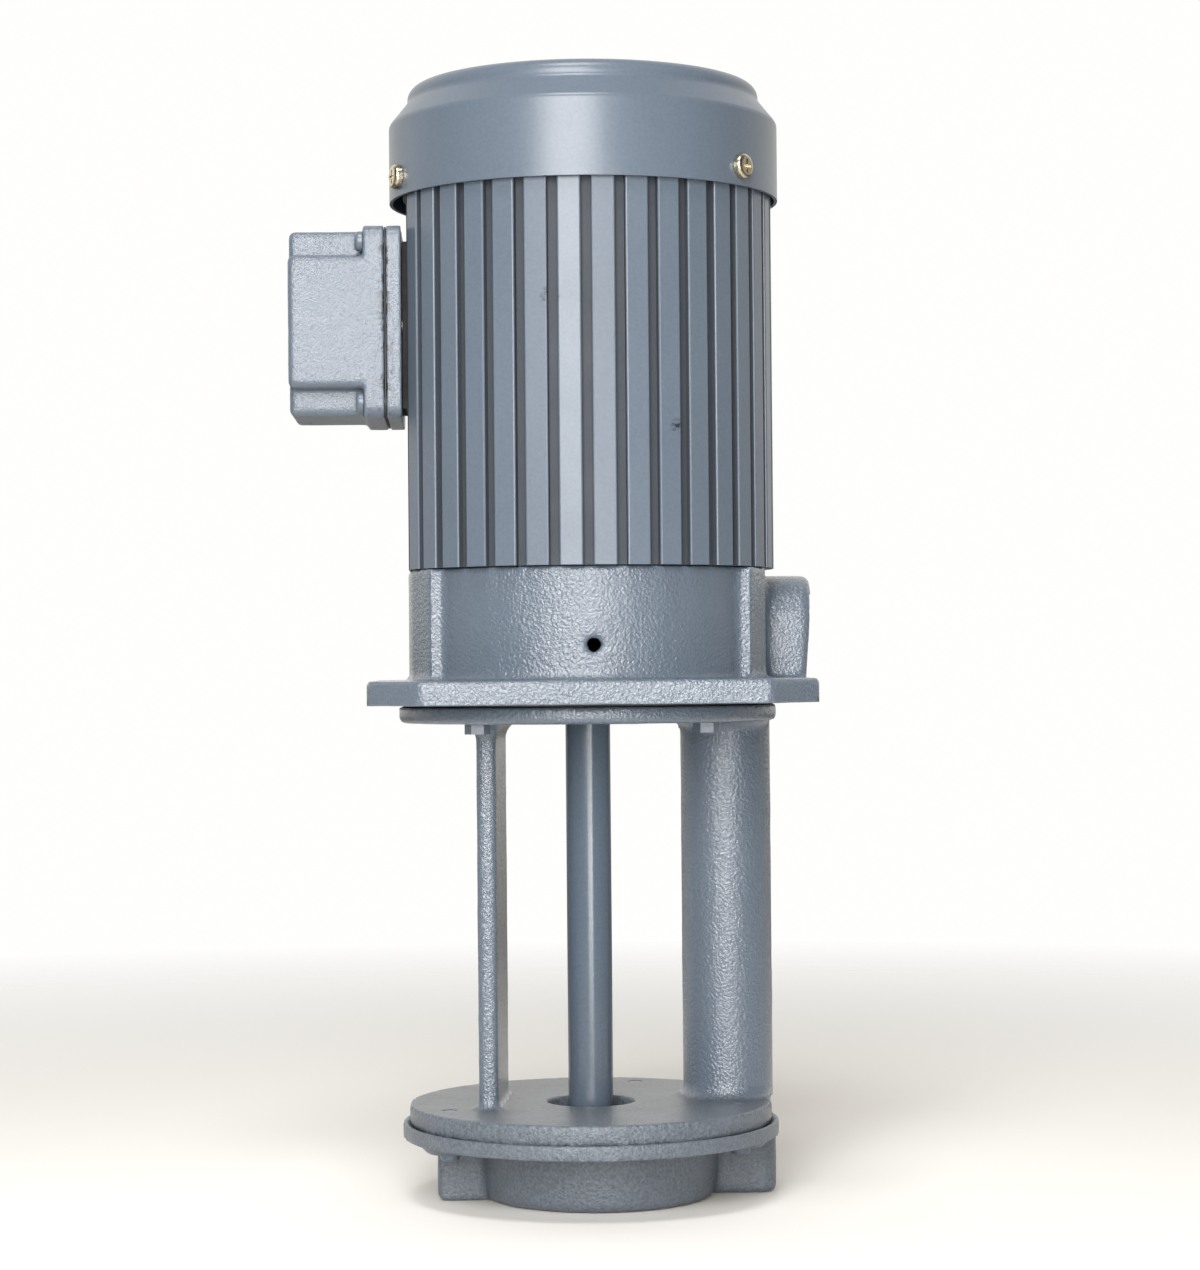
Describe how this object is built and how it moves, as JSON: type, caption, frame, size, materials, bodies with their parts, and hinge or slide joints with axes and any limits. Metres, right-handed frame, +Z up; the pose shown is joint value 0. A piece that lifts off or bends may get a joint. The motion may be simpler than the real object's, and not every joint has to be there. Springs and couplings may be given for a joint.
{
  "type": "immersion coolant pump",
  "caption": "Vertical immersion coolant pump: finned flange motor, square mounting flange, open column with delivery pipe and strut, volute casing below.",
  "frame": {"origin": "centre of the mounting flange's underside, on the shaft axis", "axes": "+Z up the shaft towards the fan cover, +X towards the discharge boss, -X towards the terminal box, -Y the front in the picture"},
  "size_m": [0.1926, 0.16, 0.4105],
  "materials": {
    "frame_paint": "semi-gloss blue-grey paint on an extruded frame",
    "cast_paint": "glossy blue-grey paint over rough castings",
    "cover_paint": "satin blue-grey paint on pressed steel",
    "shaft_paint": "smooth blue-grey paint on a turned shaft",
    "screw_paint": "blue-grey paint over bolt heads",
    "plated_steel": "zinc-plated screws",
    "bearing_steel": "ground bearing steel",
    "bare_steel": "plain steel",
    "lamination": "stacked electrical steel",
    "copper": "varnished copper winding",
    "cage": "die-cast aluminium",
    "fan_plastic": "moulded black plastic",
    "bronze": "cast bronze",
    "gasket": "pressed fibre sheet",
    "rubber": "black rubber",
    "block_resin": "brown moulded resin",
    "stud_brass": "turned brass"
  },
  "bodies": {
    "housing": {"motor_bracket": "cast_paint", "pump_column": "cast_paint", "column_gasket": "gasket", "column_bolts": "screw_paint", "pump_casing": "cast_paint", "casing_gasket": "gasket", "casing_screws": "screw_paint", "motor_frame": "frame_paint", "upper_end_shield": "cast_paint", "tie_bolts": "bare_steel", "fan_cover": "cover_paint", "fan_cover_screws": "plated_steel", "stator_core": "lamination", "stator_windings": "copper", "lower_bearing_outer": "bearing_steel", "upper_bearing_outer": "bearing_steel", "wave_washer": "bare_steel", "bearing_cap": "bare_steel", "bearing_cap_screws": "plated_steel", "oil_seal": "rubber", "box_base_gasket": "gasket", "terminal_box_base": "cast_paint", "box_cover_gasket": "gasket", "terminal_box_cover": "cast_paint", "box_cover_screws": "screw_paint", "box_fixing_screws": "plated_steel", "earth_screw": "stud_brass", "terminal_block": "block_resin", "terminal_studs": "stud_brass", "cable_bush": "rubber"},
    "rotor": {"motor_shaft": "shaft_paint", "rotor_core": "lamination", "rotor_cage": "cage", "cooling_fan": "fan_plastic", "fan_clip": "bare_steel", "lower_bearing_inner": "bearing_steel", "upper_bearing_inner": "bearing_steel", "slinger": "rubber", "impeller": "bronze", "impeller_key": "bare_steel", "impeller_washer": "plated_steel", "impeller_nut": "plated_steel"},
    "lower_ball_set": {"lower_bearing_balls": "bearing_steel"},
    "upper_ball_set": {"upper_bearing_balls": "bearing_steel"}
  },
  "joints": [
    {"name": "rotor_spin", "type": "hinge", "parent": "housing", "child": "rotor", "pos_m": [0, 0, 0.04], "axis": [0, 0, 1], "continuous": true},
    {"name": "lower_cage_orbit", "type": "hinge", "parent": "housing", "child": "lower_ball_set", "pos_m": [0, 0, 0.04], "axis": [0, 0, 1], "continuous": true},
    {"name": "upper_cage_orbit", "type": "hinge", "parent": "housing", "child": "upper_ball_set", "pos_m": [0, 0, 0.1925], "axis": [0, 0, 1], "continuous": true}
  ],
  "couplings": [
    {"joint": "lower_cage_orbit", "follows": "rotor_spin", "ratio": 0.3816},
    {"joint": "upper_cage_orbit", "follows": "rotor_spin", "ratio": 0.38}
  ]
}
